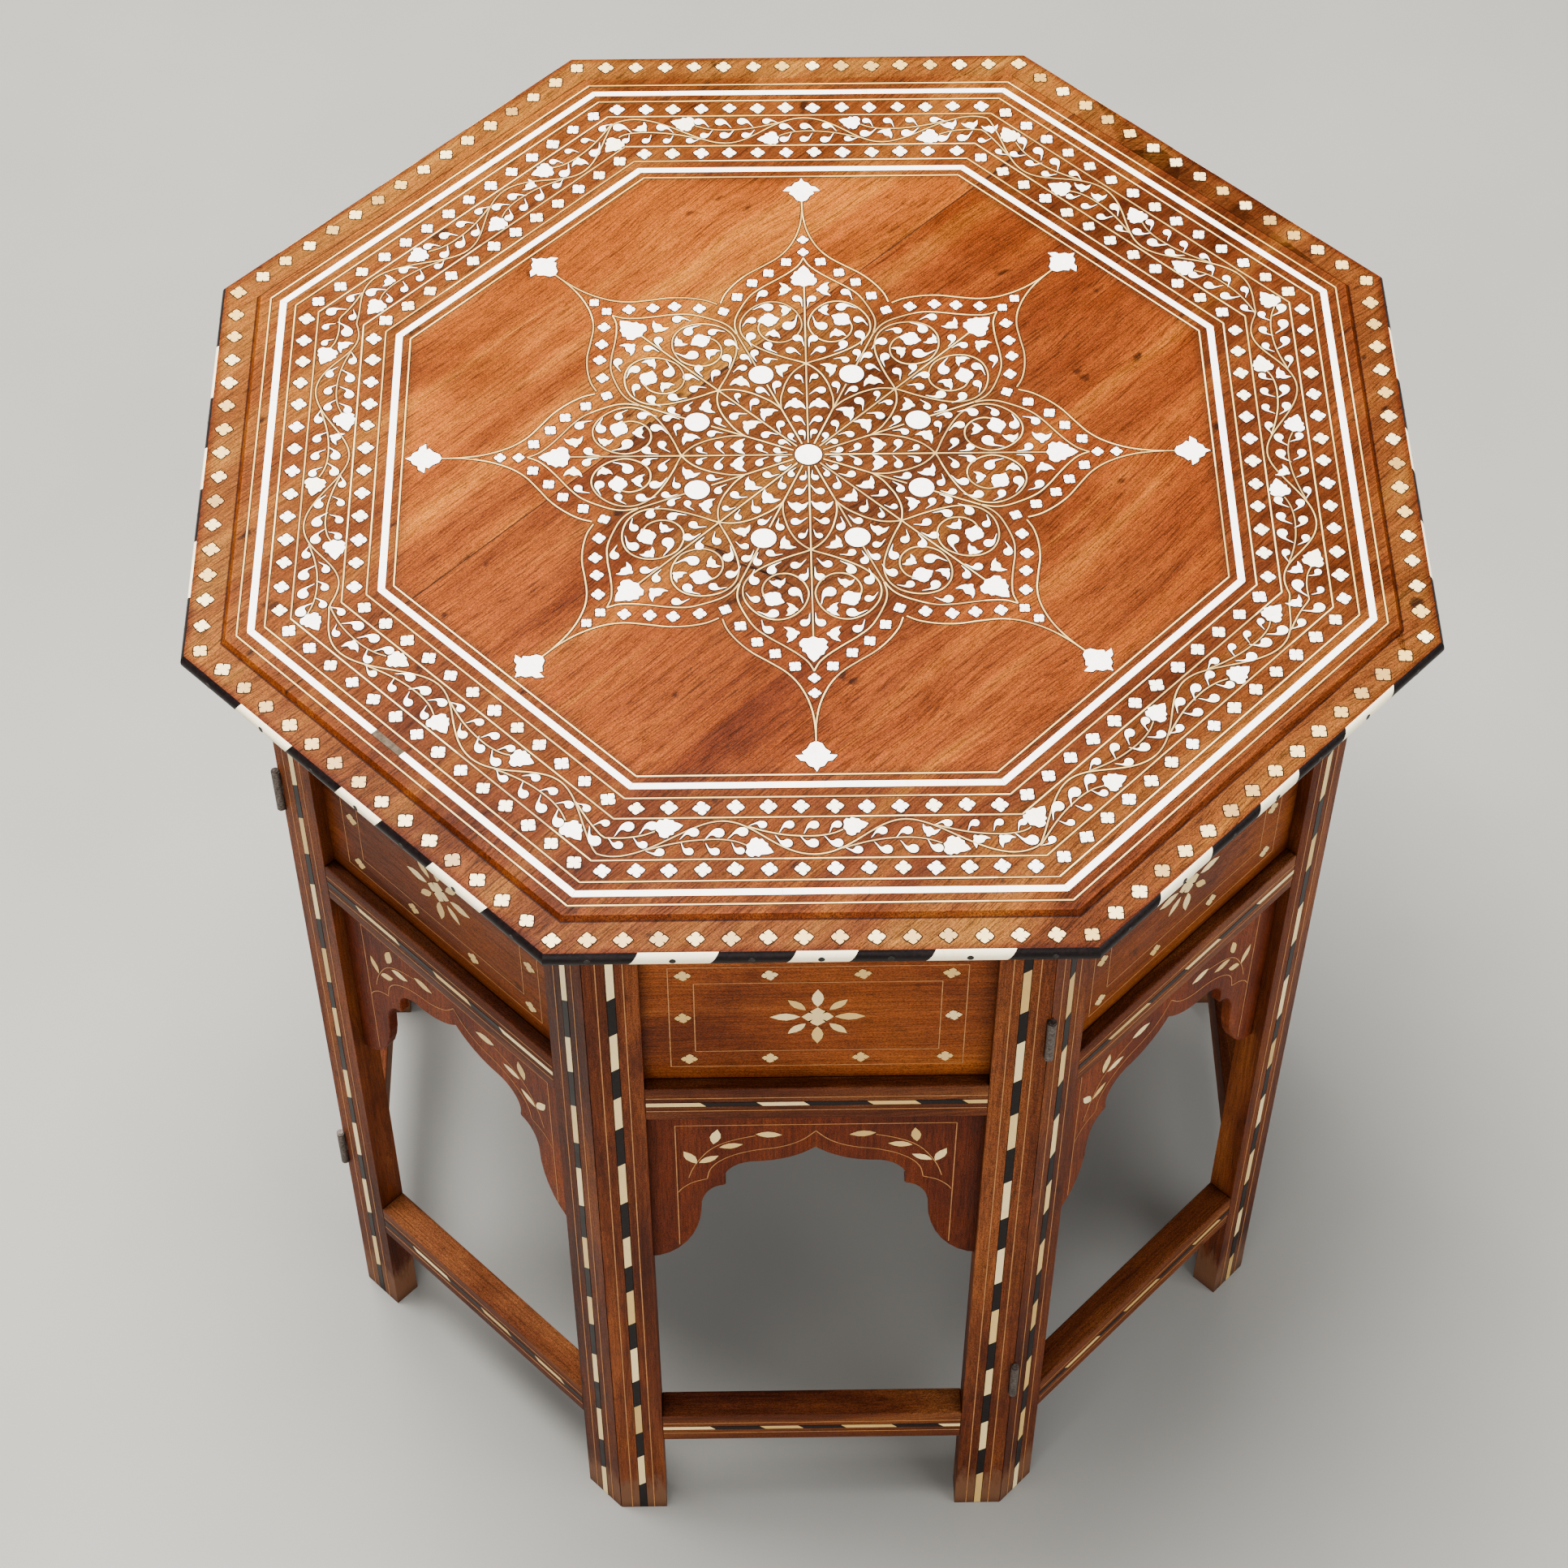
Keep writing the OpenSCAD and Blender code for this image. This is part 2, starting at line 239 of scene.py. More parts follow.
def wear_feet(g, colour, place):
    """Lighter worn wood at the floor, with a frayed upper edge."""
    height = g.add("SeparateXYZ", {0: place}).outputs["Z"]
    frayed = g.add("Math", {0: g.noise(g.scaled(place, (260, 260, 45)), 1.0, 4.0, 0.7), 1: 0.07},
                   operation="MULTIPLY").outputs[0]
    reach = g.add("Math", {0: frayed, 1: height}, operation="SUBTRACT").outputs[0]
    worn = g.add("MapRange", {"Value": reach, "From Min": -0.006, "From Max": 0.012}).outputs[0]
    return g.mix("MIX", worn, colour, (0.12, 0.050, 0.024))


def wood(name, dark, middle, light, open_pores=0.45, spots=0.5, worn_feet=False, top=False):
    """Rosewood: bands and fibres along the first grain coordinate, open pores, stains and dark spots. Off
    the top, crevices are darkened: painted shade, with grime.
    """
    g = Graph(name)
    grain = g.attribute("grain")
    place = g.add("TexCoord").outputs["Object"]
    warp = g.noise(g.scaled(grain, (3, 9, 9)), 1.0, 3.0, 0.5, 0.4)
    swing = g.add("VectorMath", {0: (0, 0.035, 0.035), "Scale": warp}, operation="SCALE").outputs[0]
    bent = g.add("VectorMath", {0: grain, 1: swing}, operation="ADD").outputs[0]
    # Each scale is per metre: along the fibres, across them and through them
    bands = g.noise(g.scaled(bent, (2.2, 34, 34)), 1.0, 5.0, 0.55, 0.5)
    fibres = g.noise(g.scaled(bent, (12, 800, 800)), 1.0, 4.0, 0.65)
    pores = g.noise(g.scaled(bent, (75, 1900, 1900)), 1.0, 2.0, 0.55)
    flecks = g.noise(g.scaled(grain, (1100, 2300, 2300)), 1.0, 2.0, 0.6)
    stains = g.noise(g.scaled(grain, (9, 13, 13)), 1.0, 6.0, 0.62, 0.6)
    dots = g.noise(g.scaled(grain, (55, 80, 80)), 1.0, 2.0, 0.5)
    colour = g.ramp(bands, [(0.30, dark), (0.5, middle), (0.70, light)])
    colour = g.mix("MULTIPLY", 1.0, colour, g.attribute("shade", "Color"))
    colour = g.mix("MULTIPLY", 0.8, colour, g.ramp(fibres, [(0.3, 0.48), (0.62, 1.24)]))
    colour = g.mix("MULTIPLY", open_pores, colour, g.ramp(pores, [(0.36, 0.30), (0.47, 1.0), (0.66, 1.12)]))
    colour = g.mix("MULTIPLY", 1.0, colour, g.ramp(flecks, [(0.32, 0.4), (0.50, 1.0), (0.68, 1.6)]))
    colour = g.mix("MULTIPLY", 0.9, colour, g.ramp(stains, [(0.32, (0.48, 0.40, 0.38)), (0.50, 0.96),
                                                            (0.68, (1.18, 1.28, 1.0))]))
    colour = g.mix("MULTIPLY", spots, colour, g.ramp(dots, [(0.25, 0.15), (0.31, 1.0)]))
    if top:
        colour = age_and_shade_top(g, colour, place)
    if worn_feet:
        colour = wear_feet(g, colour, place)
    # Ambient occlusion darkens crevices and the gaps between parts: painted shade, together with grime in
    # the hollows; not used on the top
    crevice = g.add("AmbientOcclusion", {"Distance": 0.014}, samples=6, only_local=False).outputs["AO"]
    crevice_grime_and_shade = g.ramp(crevice, [(0.30, (0.10, 0.07, 0.06)), (0.85, 1.0)])
    colour = g.mix("MULTIPLY", 0.0 if top else 0.8, colour, crevice_grime_and_shade)
    spread = {"Value": stains, "From Min": 0.3, "From Max": 0.7, "To Min": WOOD_ROUGH - 0.07,
              "To Max": WOOD_ROUGH + 0.12}
    rough = g.add("MapRange", spread).outputs[0]
    normal = g.bump(fibres, 0.3, 0.0002)
    normal = g.bump(g.ramp(pores, [(0.36, 0.0), (0.45, 1.0)]), 0.35, 0.0003, normal)
    return g.finish(Base_Color=colour, Roughness=rough, Normal=normal, Specular_IOR_Level=WOOD_SPECULAR)


def bone(name, old, aged, cream, white):
    """Polished bone: each piece has its own tone from old to white, with faint streaks and dark specks."""
    g = Graph(name)
    place = g.add("TexCoord").outputs["Object"]
    tone = g.attribute("tone", "Fac")
    streaks = g.noise(g.scaled(place, (220, 220, 90)), 1.0, 4.0, 0.6, 0.6)
    specks = g.noise(place, 900.0, 2.0, 0.6)
    colour = g.ramp(tone, [(0.0, old), (0.14, aged), (0.5, cream), (0.9, white)])
    colour = g.mix("MULTIPLY", 0.5, colour, g.ramp(streaks, [(0.3, (0.88, 0.80, 0.64)), (0.5, 1.0)]))
    colour = g.mix("MULTIPLY", 0.4, colour, g.ramp(specks, [(0.27, 0.4), (0.34, 1.0)]))
    normal = g.bump(streaks, 0.12, 0.0002)
    return g.finish(Base_Color=colour, Roughness=0.38, Normal=normal)


def plain_stock(name, colour, second, rough, metal=0.0, scale=500.0, bump=0.25, specular=0.2):
    """Ebony, glue, stringing and iron: two tones in fine noise, with a light surface relief."""
    g = Graph(name)
    place = g.add("TexCoord").outputs["Object"]
    fine = g.noise(place, scale, 4.0, 0.65)
    broad = g.noise(place, scale / 12, 3.0, 0.6)
    tint = g.ramp(fine, [(0.36, colour), (0.66, second)])
    tint = g.mix("MULTIPLY", 0.6, tint, g.ramp(broad, [(0.3, 0.6), (0.6, 1.1)]))
    spread = {"Value": broad, "To Min": rough - 0.1, "To Max": rough + 0.15}
    roughness = g.add("MapRange", spread).outputs[0]
    normal = g.bump(fine, bump, 0.0002)
    return g.finish(Base_Color=tint, Roughness=roughness, Normal=normal, Metallic=metal,
                    Specular_IOR_Level=specular)


def make_materials():
    """All materials by name. Woods are given from dark to light, bone from old to white."""
    return {
        "top_wood": wood("top_wood", (0.066, 0.0108, 0.0009), (0.120, 0.0235, 0.0018),
                         (0.200, 0.0560, 0.0040), 0.85, 0.85, top=True),
        "top_wood_light": wood("top_wood_light", (0.095, 0.0170, 0.0012), (0.158, 0.0350, 0.0024),
                               (0.240, 0.070, 0.0050), 0.85, 0.85, top=True),
        "frame_wood": wood("frame_wood", (0.026, 0.0050, 0.0018), (0.086, 0.0185, 0.0050),
                           (0.18, 0.048, 0.012), worn_feet=True),
        "rail_wood": wood("rail_wood", (0.030, 0.006, 0.0025), (0.085, 0.020, 0.006), (0.17, 0.052, 0.015)),
        "panel_wood": wood("panel_wood", (0.085, 0.017, 0.0035), (0.125, 0.028, 0.0055),
                           (0.17, 0.045, 0.009)),
        "bone": bone("bone", (0.35, 0.19, 0.042), (0.60, 0.375, 0.095), (0.98, 0.81, 0.45),
                     (1.0, 0.97, 0.92)),
        "ebony": plain_stock("ebony", (0.0025, 0.0015, 0.0015), (0.007, 0.004, 0.004), 0.35, specular=0.09),
        "filler": plain_stock("filler", (0.034, 0.023, 0.013), (0.075, 0.053, 0.034), 0.8),
        "glue": plain_stock("glue", (0.008, 0.0028, 0.0015), (0.020, 0.007, 0.003), 0.75, specular=0.05),
        "string": plain_stock("string", (0.30, 0.11, 0.028), (0.42, 0.18, 0.055), 0.5),
        "pin_metal": plain_stock("pin_metal", (0.008, 0.006, 0.005), (0.03, 0.025, 0.021), 0.5, 0.3),
        "hinge_iron": plain_stock("hinge_iron", (0.045, 0.034, 0.028), (0.17, 0.14, 0.12), 0.5, 0.75, 900.0,
                                  0.6),
    }


def floor_material():
    g = Graph("floor")
    place = g.add("TexCoord").outputs["Object"]
    cloud = g.noise(place, 2.5, 4.0, 0.55)
    tint = g.ramp(cloud, [(0.3, (0.215, 0.208, 0.190)), (0.7, (0.25, 0.242, 0.222))])
    return g.finish(Base_Color=tint, Roughness=0.75)


def make_floor():
    """A plain floor that bends up behind the table."""
    size, rise, bend = 6.0, 3.0, 0.8
    rows = [(-size, 0.0), (size - bend, 0.0)]
    rows += [(size - bend + bend * math.sin(a), bend - bend * math.cos(a))
             for a in [i * math.pi / 16 for i in range(1, 9)]]
    rows.append((size, rise))
    verts = [(x, y, z) for y, z in rows for x in (-size, size)]
    faces = [(2 * i, 2 * i + 1, 2 * i + 3, 2 * i + 2) for i in range(len(rows) - 1)]
    mesh = bpy.data.meshes.new("floor")
    mesh.from_pydata(verts, [], faces)
    mesh.shade_smooth()
    floor = bpy.data.objects.new("floor", mesh)
    bpy.context.scene.collection.objects.link(floor)
    mesh.materials.append(floor_material())


# ---------------------------------------------------------------- solid pieces from the frame

TINY = 1e-6
NO_LENGTH = 1e-9
FLAT_ANGLE = math.radians(1)
SHARP_ANGLE = math.radians(25)


def link_piece(name, mesh, material, body, slot):
    """Puts one mesh in the scene, on its body and with its material; slot is not used."""
    piece = bpy.data.objects.new(name, mesh)
    bpy.context.scene.collection.objects.link(piece)
    mesh.materials.append(material)
    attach(piece, body)
    return piece


def soften(node, name, width, along, material, body, slot, seed, shade=(1, 1, 1)):
    """A copy of a CAD wood piece with eased edges and grain coordinates along the given direction."""
    mesh = NODES[node].data.copy()
    mesh.materials.clear()
    shape = bmesh.new()
    shape.from_mesh(mesh)
    bmesh.ops.remove_doubles(shape, verts=shape.verts, dist=TINY)
    bmesh.ops.dissolve_limit(shape, angle_limit=FLAT_ANGLE, verts=shape.verts, edges=shape.edges)
    sharp = [e for e in shape.edges if len(e.link_faces) == 2 and e.calc_face_angle(0) > SHARP_ANGLE]
    bmesh.ops.bevel(shape, geom=sharp, offset=width * MM, segments=2, profile=0.5, affect="EDGES",
                    clamp_overlap=True)
    shape.to_mesh(mesh)
    shape.free()
    add_grain(mesh, along, seed, shade)
    piece = link_piece(name, mesh, material, body, slot)
    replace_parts(piece, node)
    return piece


def add_grain(mesh, along, seed, shade):
    """Stores on the points a shade of the stock, and metres along the fibres, across and through them."""
    rng = random.Random(seed)
    shift = Vector((rng.uniform(0, 9), rng.uniform(0, 9), rng.uniform(0, 9)))
    first = Vector(along).normalized()
    second = first.orthogonal().normalized()
    third = first.cross(second)
    store = mesh.attributes.new("grain", "FLOAT_VECTOR", "POINT")
    for vert, item in zip(mesh.vertices, store.data):
        item.vector = Vector((vert.co.dot(first), vert.co.dot(second), vert.co.dot(third))) + shift
    tint = mesh.attributes.new("shade", "FLOAT_VECTOR", "POINT")
    for item in tint.data:
        item.vector = shade


# ---------------------------------------------------------------- flat inlay pieces


class Inlay:
    """Gathers flat pieces cut from one stock, drawn as outlines in mm on a face of the table."""

    def __init__(self, seed):
        self.verts, self.faces, self.tones = [], [], []
        self.rng = random.Random(seed)

    def add(self, outline, low, high, tone=None):
        count, start = len(outline), len(self.verts)
        tone = self.rng.random() if tone is None else tone
        for level in (low, high):
            self.verts += [(x, y, level) for x, y in outline]
        self.tones += [tone] * (2 * count)
        top = list(range(start + count, start + 2 * count))
        bottom = list(range(start + count - 1, start - 1, -1))
        self.faces += [top, bottom]
        for i in range(count):
            j = (i + 1) % count
            self.faces.append([start + i, start + j, start + count + j, start + count + i])

    def build(self, name, place, material, body, slot):
        mesh = bpy.data.meshes.new(name)
        mesh.from_pydata([place(*v) for v in self.verts], [], self.faces)
        store = mesh.attributes.new("tone", "FLOAT", "POINT")
        store.data.foreach_set("value", self.tones)
        return link_piece(name, mesh, material, body, slot)


def area_of(outline):
    """The outline's area, positive when it runs anticlockwise."""
    return sum(a[0] * b[1] - b[0] * a[1] for a, b in zip(outline, outline[1:] + outline[:1])) / 2


def grown(outline, reach):
    """The outline moved outwards by a distance, point by point along the mean of its two edge normals."""
    made, count = [], len(outline)
    for i in range(count):
        (ax, ay), (bx, by), (cx, cy) = outline[i - 1], outline[i], outline[(i + 1) % count]
        before = Vector((by - ay, ax - bx))
        after = Vector((cy - by, bx - cx))
        if min(before.length, after.length) < NO_LENGTH:
            made.append((bx, by))
            continue
        out = before.normalized() + after.normalized()
        out = out.normalized() if out.length > TINY else before.normalized()
        made.append((bx + out.x * reach, by + out.y * reach))
    return made


class Face:
    """One face of the table with its inlay: bone, ebony and stringing, and the dark glue under them."""

    def __init__(self, seed):
        self.stock = {kind: Inlay(seed + i) for i, kind in enumerate(("bone", "ebony", "string", "glue"))}
        # Pieces that cross one another lie at slightly different heights, as hand-scraped inlay does
        self.heights = random.Random(seed + 9)

    def lay(self, kind, outline, level=0.0, tone=None, edge=GLUE_GROW, seat=None):
        """Lays one piece. Its glue edge follows the seat, or else its own outline."""
        if area_of(outline) < 0:
            outline = outline[::-1]
        proud = BONE_PROUD - PROUD_SPREAD * self.heights.random()
        self.stock[kind].add(outline, level - INLAY_DEEP, level + proud, tone)
        if edge:
            self.stock["glue"].add(grown(seat or outline, edge), level - INLAY_DEEP,
                                   level + GLUE_PROUD - PROUD_SPREAD * self.heights.random() / 2)

    def build(self, name, place, body, stuff):
        """Makes one mesh per stock. place turns (x, y, height) of the face into metres."""
        for kind, inlay in self.stock.items():
            if inlay.verts:
                slot = kind if kind in ("bone", "ebony") else None
                inlay.build(name + "_" + kind, place, stuff[kind], body, slot)


def moved(outline, x, y, turn=0.0, size=1.0):
    c, s = math.cos(turn) * size, math.sin(turn) * size
    return [(x + px * c - py * s, y + px * s + py * c) for px, py in outline]


def circle(radius, count):
    return [(radius * math.cos(i * math.tau / count), radius * math.sin(i * math.tau / count))
            for i in range(count)]


def smooth(points, steps=6):
    """A Catmull-Rom curve through the points."""
    ends = [points[0]] + list(points) + [points[-1]]
    made = []
    for around in zip(ends, ends[1:], ends[2:], ends[3:]):
        for i in range(steps):
            t = i / steps
            made.append(tuple(0.5 * (2 * b + (c - a) * t + (2 * a - 5 * b + 4 * c - d) * t * t
                                     + (3 * b - a - 3 * c + d) * t ** 3) for a, b, c, d in zip(*around)))
    made.append(tuple(points[-1]))
    return made


def ribbon(path, width, taper=1.0):
    """A strip of the given width along a path, as one closed outline. taper scales the width at its end."""
    left, right, count = [], [], len(path)
    for i, (x, y) in enumerate(path):
        ax, ay = path[max(i - 1, 0)]
        bx, by = path[min(i + 1, count - 1)]
        run = math.hypot(bx - ax, by - ay) or 1.0
        half = width / 2 * (1 + (taper - 1) * i / (count - 1))
        nx, ny = -(by - ay) / run * half, (bx - ax) / run * half
        left.append((x + nx, y + ny))
        right.append((x - nx, y - ny))
    return right + left[::-1]


# A quarter of a quatrefoil as turn and distance: the bottom of its nick first, then the petal
QUARTER = ((-0.785, 0.42), (-0.67, 0.755), (-0.42, 0.82), (0.0, 1.0), (0.42, 0.82), (0.67, 0.755))


def lay_quatrefoil(face, rng, size, x, y, turn=0.0, level=0.0, tone=0.9, edge=GLUE_GROW):
    """Four petals with a narrow nick between each two. The glue fills the nicks."""
    made = []
    for k in range(4):
        a = k * math.pi / 2
        for da, r in QUARTER:
            reach = size / 2 * r * (1 + rng.uniform(-0.05, 0.05))
            made.append((reach * math.cos(a + da), reach * math.sin(a + da)))
    made = moved(made, x, y, turn)
    seat = [point for i, point in enumerate(made) if i % len(QUARTER)]
    face.lay("bone", made, level, tone, edge, seat)


# A comma leaf: a round head at the origin with a curved tail that ends near (1, 0)
COMMA = [(1.0, 0.03), (0.82, -0.05), (0.64, -0.13), (0.47, -0.21), (0.30, -0.285), (0.12, -0.325),
         (-0.06, -0.31), (-0.22, -0.22), (-0.31, -0.07), (-0.30, 0.10), (-0.20, 0.25), (-0.03, 0.32),
         (0.14, 0.29), (0.26, 0.19), (0.30, 0.05), (0.37, -0.05), (0.49, -0.09), (0.66, -0.05),
         (0.84, 0.01)]
# A winged leaf: two horns towards +Y, 1 apart, and a nicked belly
LEAF = [(-0.5, 0.32), (-0.36, 0.21), (-0.24, 0.19), (-0.06, 0.27), (0.10, 0.20), (0.20, 0.13), (0.34, 0.20),
        (0.5, 0.32), (0.42, 0.02), (0.30, -0.16), (0.17, -0.23), (0.10, -0.37), (-0.02, -0.39),
        (-0.10, -0.25), (-0.25, -0.17), (-0.41, 0.04)]
# A big heart leaf with a pointed tip towards +X, length 1
HEART = [(0.5, 0.0), (0.36, 0.13), (0.24, 0.20), (0.20, 0.30), (0.08, 0.33), (-0.05, 0.43), (-0.14, 0.36),
         (-0.26, 0.42), (-0.40, 0.30), (-0.40, 0.14), (-0.48, 0.0), (-0.40, -0.14), (-0.40, -0.30),
         (-0.26, -0.41), (-0.12, -0.41), (-0.05, -0.32), (0.08, -0.33), (0.14, -0.22), (0.32, -0.15)]
# A nicked lozenge, length 1 along +X
LOZENGE = [(0.5, 0.0), (0.26, 0.20), (0.24, 0.27), (0.12, 0.40), (-0.10, 0.39), (-0.16, 0.31),
           (-0.26, 0.30), (-0.5, 0.02), (-0.30, -0.17), (-0.27, -0.26), (-0.12, -0.40), (0.10, -0.38),
           (0.16, -0.30), (0.26, -0.27)]
# A crowned finial, tip towards -Y, width 1: its right half, which is mirrored to the left
FINIAL_HALF = [(0.14, 0.36), (0.22, 0.20), (0.34, 0.10), (0.30, 0.02), (0.5, 0.0), (0.38, -0.16),
               (0.26, -0.18), (0.18, -0.32), (0.07, -0.36)]
FINIAL = [(0.0, 0.42)] + FINIAL_HALF + [(0.0, -0.5)] + [(-x, y) for x, y in FINIAL_HALF[::-1]]
# A simple almond petal along +X, length 1
PETAL = [(-0.5, 0.0), (-0.3, -0.13), (-0.05, -0.20), (0.2, -0.16), (0.5, 0.0), (0.2, 0.16), (-0.05, 0.20),
         (-0.3, 0.13)]

# ---------------------------------------------------------------- inlay of the top

LINE_W = 0.74
CURVE_W = 0.72
STEM_W = 0.68
BROAD_W = 3.5
LINE_PIECES = 3
JOINT_W = 0.6
# Bone lines round the raised field by distance from the middle of the top, and rows of quatrefoils by
# distance, size and number per side. The rim row lies on the lower outer band
LINES_AT = (200.6, 213.4, 225.0, 248.6, 260.6, 273.6)
INNER_ROW = (219.2, 8.0, 12)
OUTER_ROW = (254.4, 8.0, 14)
RIM_ROW = (290.8, 8.6, 15)
# Ranges of bone tone, from 0 (old and golden) to 1 (white)
LINE_TONES = (0.0, 0.28)
CURVE_TONES = (0.0, 0.2)
STEM_TONES = (0.0, 0.14)
RIM_TONES = (0.0, 0.4)
LEAF_TONES = (0.65, 1.0)
BROAD_TONES = (0.8, 1.0)


def on_side(k, x, d):
    """A point of side k, x along the side and d from the middle, in plan."""
    a = k * math.tau / SIDES
    return x * math.cos(a) + d * math.sin(a), x * math.sin(a) - d * math.cos(a)


def side_strip(face, k, x0, x1, d, width, tone, edge):
    """A straight bone strip of a side, mitred where it ends at a corner."""
    outline = []
    for x, dd in ((x0, d + width / 2), (x1, d + width / 2), (x1, d - width / 2), (x0, d - width / 2)):
        limit = dd * TAN_HALF - 0.08
        outline.append(on_side(k, max(-limit, min(limit, x)), dd))
    face.lay("bone", outline, 0.0, tone, edge)


def octagon_line(face, d, width, pieces, rng, edge=LINE_GLUE, tones=LINE_TONES):
    """A bone line round all sides, in hand-cut lengths."""
    for k in range(SIDES):
        half = (d + width / 2) * TAN_HALF
        cuts = [-half - 1] + sorted(half * (-1 + 2 * (i + rng.uniform(0.25, 0.75)) / pieces)
                                    for i in range(1, pieces)) + [half + 1]
        for a, b in zip(cuts, cuts[1:]):
            side_strip(face, k, a + 0.05, b - 0.05, d, width, rng.uniform(*tones), edge)


def quatrefoil_row(face, d, size, count, rng, corner, level=0.0, tones=(0.6, 1.0)):
    """A row of quatrefoils on each side. With corner set, the first one sits on the corner itself."""
    for k in range(SIDES):
        span = d * TAN_HALF * 2
        for i in range(count):
            x = -span / 2 + span / count * (i + (0.02 if corner else 0.5)) + rng.uniform(-0.3, 0.3)
            px, py = on_side(k, x, d + rng.uniform(-0.3, 0.3))
            turn = k * math.tau / SIDES + rng.uniform(-0.12, 0.12)
            tone = rng.uniform(*tones) * (0.75 if rng.random() < 0.1 else 1)
            lay_quatrefoil(face, rng, size * rng.uniform(0.94, 1.05), px, py, turn, level, tone)


def comma(face, rng, head, tip, flip):
    """A comma leaf from the middle of its head to the tip of its tail. flip turns its hollow side over."""
    run = Vector(tip) - Vector(head)
    size = run.length * rng.uniform(0.95, 1.05)
    turn = math.atan2(run.y, run.x) + rng.uniform(-0.08, 0.08)
    sign = -1 if flip else 1
    face.lay("bone", moved([(x, y * sign) for x, y in COMMA], head[0], head[1], turn, size), 0.0,
             rng.uniform(*LEAF_TONES), LEAF_GLUE)


def winged(face, rng, middle, towards, size):
    """A winged leaf whose horns point towards the given point."""
    (x, y), (to_x, to_y) = middle, towards
    turn = math.atan2(to_y - y, to_x - x) - math.pi / 2 + rng.uniform(-0.1, 0.1)
    face.lay("bone", moved(LEAF, x, y, turn, size * rng.uniform(0.94, 1.05)), 0.0,
             rng.uniform(*LEAF_TONES), LEAF_GLUE)


# The vine band: distance of its middle line, swing of its stem, waves round the octagon, and the steps of a
# wave and of one length of stem
VINE_AT = 236.7
VINE_SWING = 9.7
VINE_WAVES = 18
WAVE_STEPS = 32
STEM_STEPS = 8
# One branch: distance along the band from the middle of its bend, and across from the band's middle line
BRANCH = [(-31.0, 6.4), (-21.0, 3.2), (-11.0, 1.2), (0.0, 0.7), (8.0, 1.9), (13.4, 4.2)]
# Commas on either side of the branch: place along the band, then the way from head to tail tip
BRANCH_OUTER = [(-24.2, -6.4, -0.9), (-11.5, -5.2, -4.8), (0.0, -5.0, -5.0), (11.0, -4.4, -5.0)]
BRANCH_INNER = [(-12.0, -6.2, 4.0), (-0.4, -6.4, 4.6), (10.6, -6.4, 4.0)]
OUTER_AT = 7.4
INNER_AT = -3.3
# Some inner commas are winged leaves instead
WINGED_SHARE = 0.3
WINGED_SIZE = 8.8
BRANCH_HEART = (19.4, 6.2)
HEART_LEN = 12.8


def vine_point(along, across):
    """A point of the vine band: along runs round the octagon, across is outwards from its middle line."""
    u = along / (2 * VINE_AT * TAN_HALF)
    k = math.floor(u)
    d = VINE_AT + across
    return on_side(k % SIDES, (u - k - 0.5) * 2 * d * TAN_HALF, d)


def vine_band(face, rng):
    """A waving stem with a branch in every bend: comma leaves on both sides, a heart leaf at its end."""
    total = SIDES * 2 * VINE_AT * TAN_HALF
    wave = total / VINE_WAVES
    start = total / SIDES / 2 - 2.0
    for i in range(VINE_WAVES):
        path = [vine_point(start + (i + j / WAVE_STEPS) * wave,
                           VINE_SWING * math.cos(math.tau * j / WAVE_STEPS)) for j in range(WAVE_STEPS + 1)]
        for a in range(0, WAVE_STEPS, STEM_STEPS):
            piece = ribbon(path[a:a + STEM_STEPS + 1], STEM_W)
            face.lay("bone", piece, 0.0, rng.uniform(*STEM_TONES), LINE_GLUE)
    for i in range(2 * VINE_WAVES):
        # At odd half waves the stem swings inwards, so the branch lies outwards of it
        sign = 1 if i % 2 else -1
        mid = start + i * wave / 2

        def at(x, y, m=mid, s=sign):
            return vine_point(m + x, s * y)
        twig = ribbon([at(x, y) for x, y in smooth(BRANCH, 4)], 0.7, 0.8)
        face.lay("bone", twig, 0.0, rng.uniform(*STEM_TONES), LINE_GLUE)
        for x, tail_x, tail_y in BRANCH_OUTER:
            y = OUTER_AT + rng.uniform(-0.4, 0.3)
            comma(face, rng, at(x, y), at(x + tail_x, y + tail_y), sign > 0)
        for x, tail_x, tail_y in BRANCH_INNER:
            y = INNER_AT + rng.uniform(-0.3, 0.4)
            if rng.random() < WINGED_SHARE:
                winged(face, rng, at(x - 1, y + 0.6), at(x + 4, y - 8), WINGED_SIZE)
            else:
                comma(face, rng, at(x, y), at(x + tail_x, y + tail_y), sign < 0)
        px, py = at(*BRANCH_HEART)
        qx, qy = at(BRANCH_HEART[0] + 5, BRANCH_HEART[1] + 1.2)
        turn = math.atan2(qy - py, qx - px) + rng.uniform(-0.15, 0.15)
        face.lay("bone", moved(HEART, px, py, turn, HEART_LEN * rng.uniform(0.93, 1.05)), 0.0,
                 rng.uniform(*LEAF_TONES))


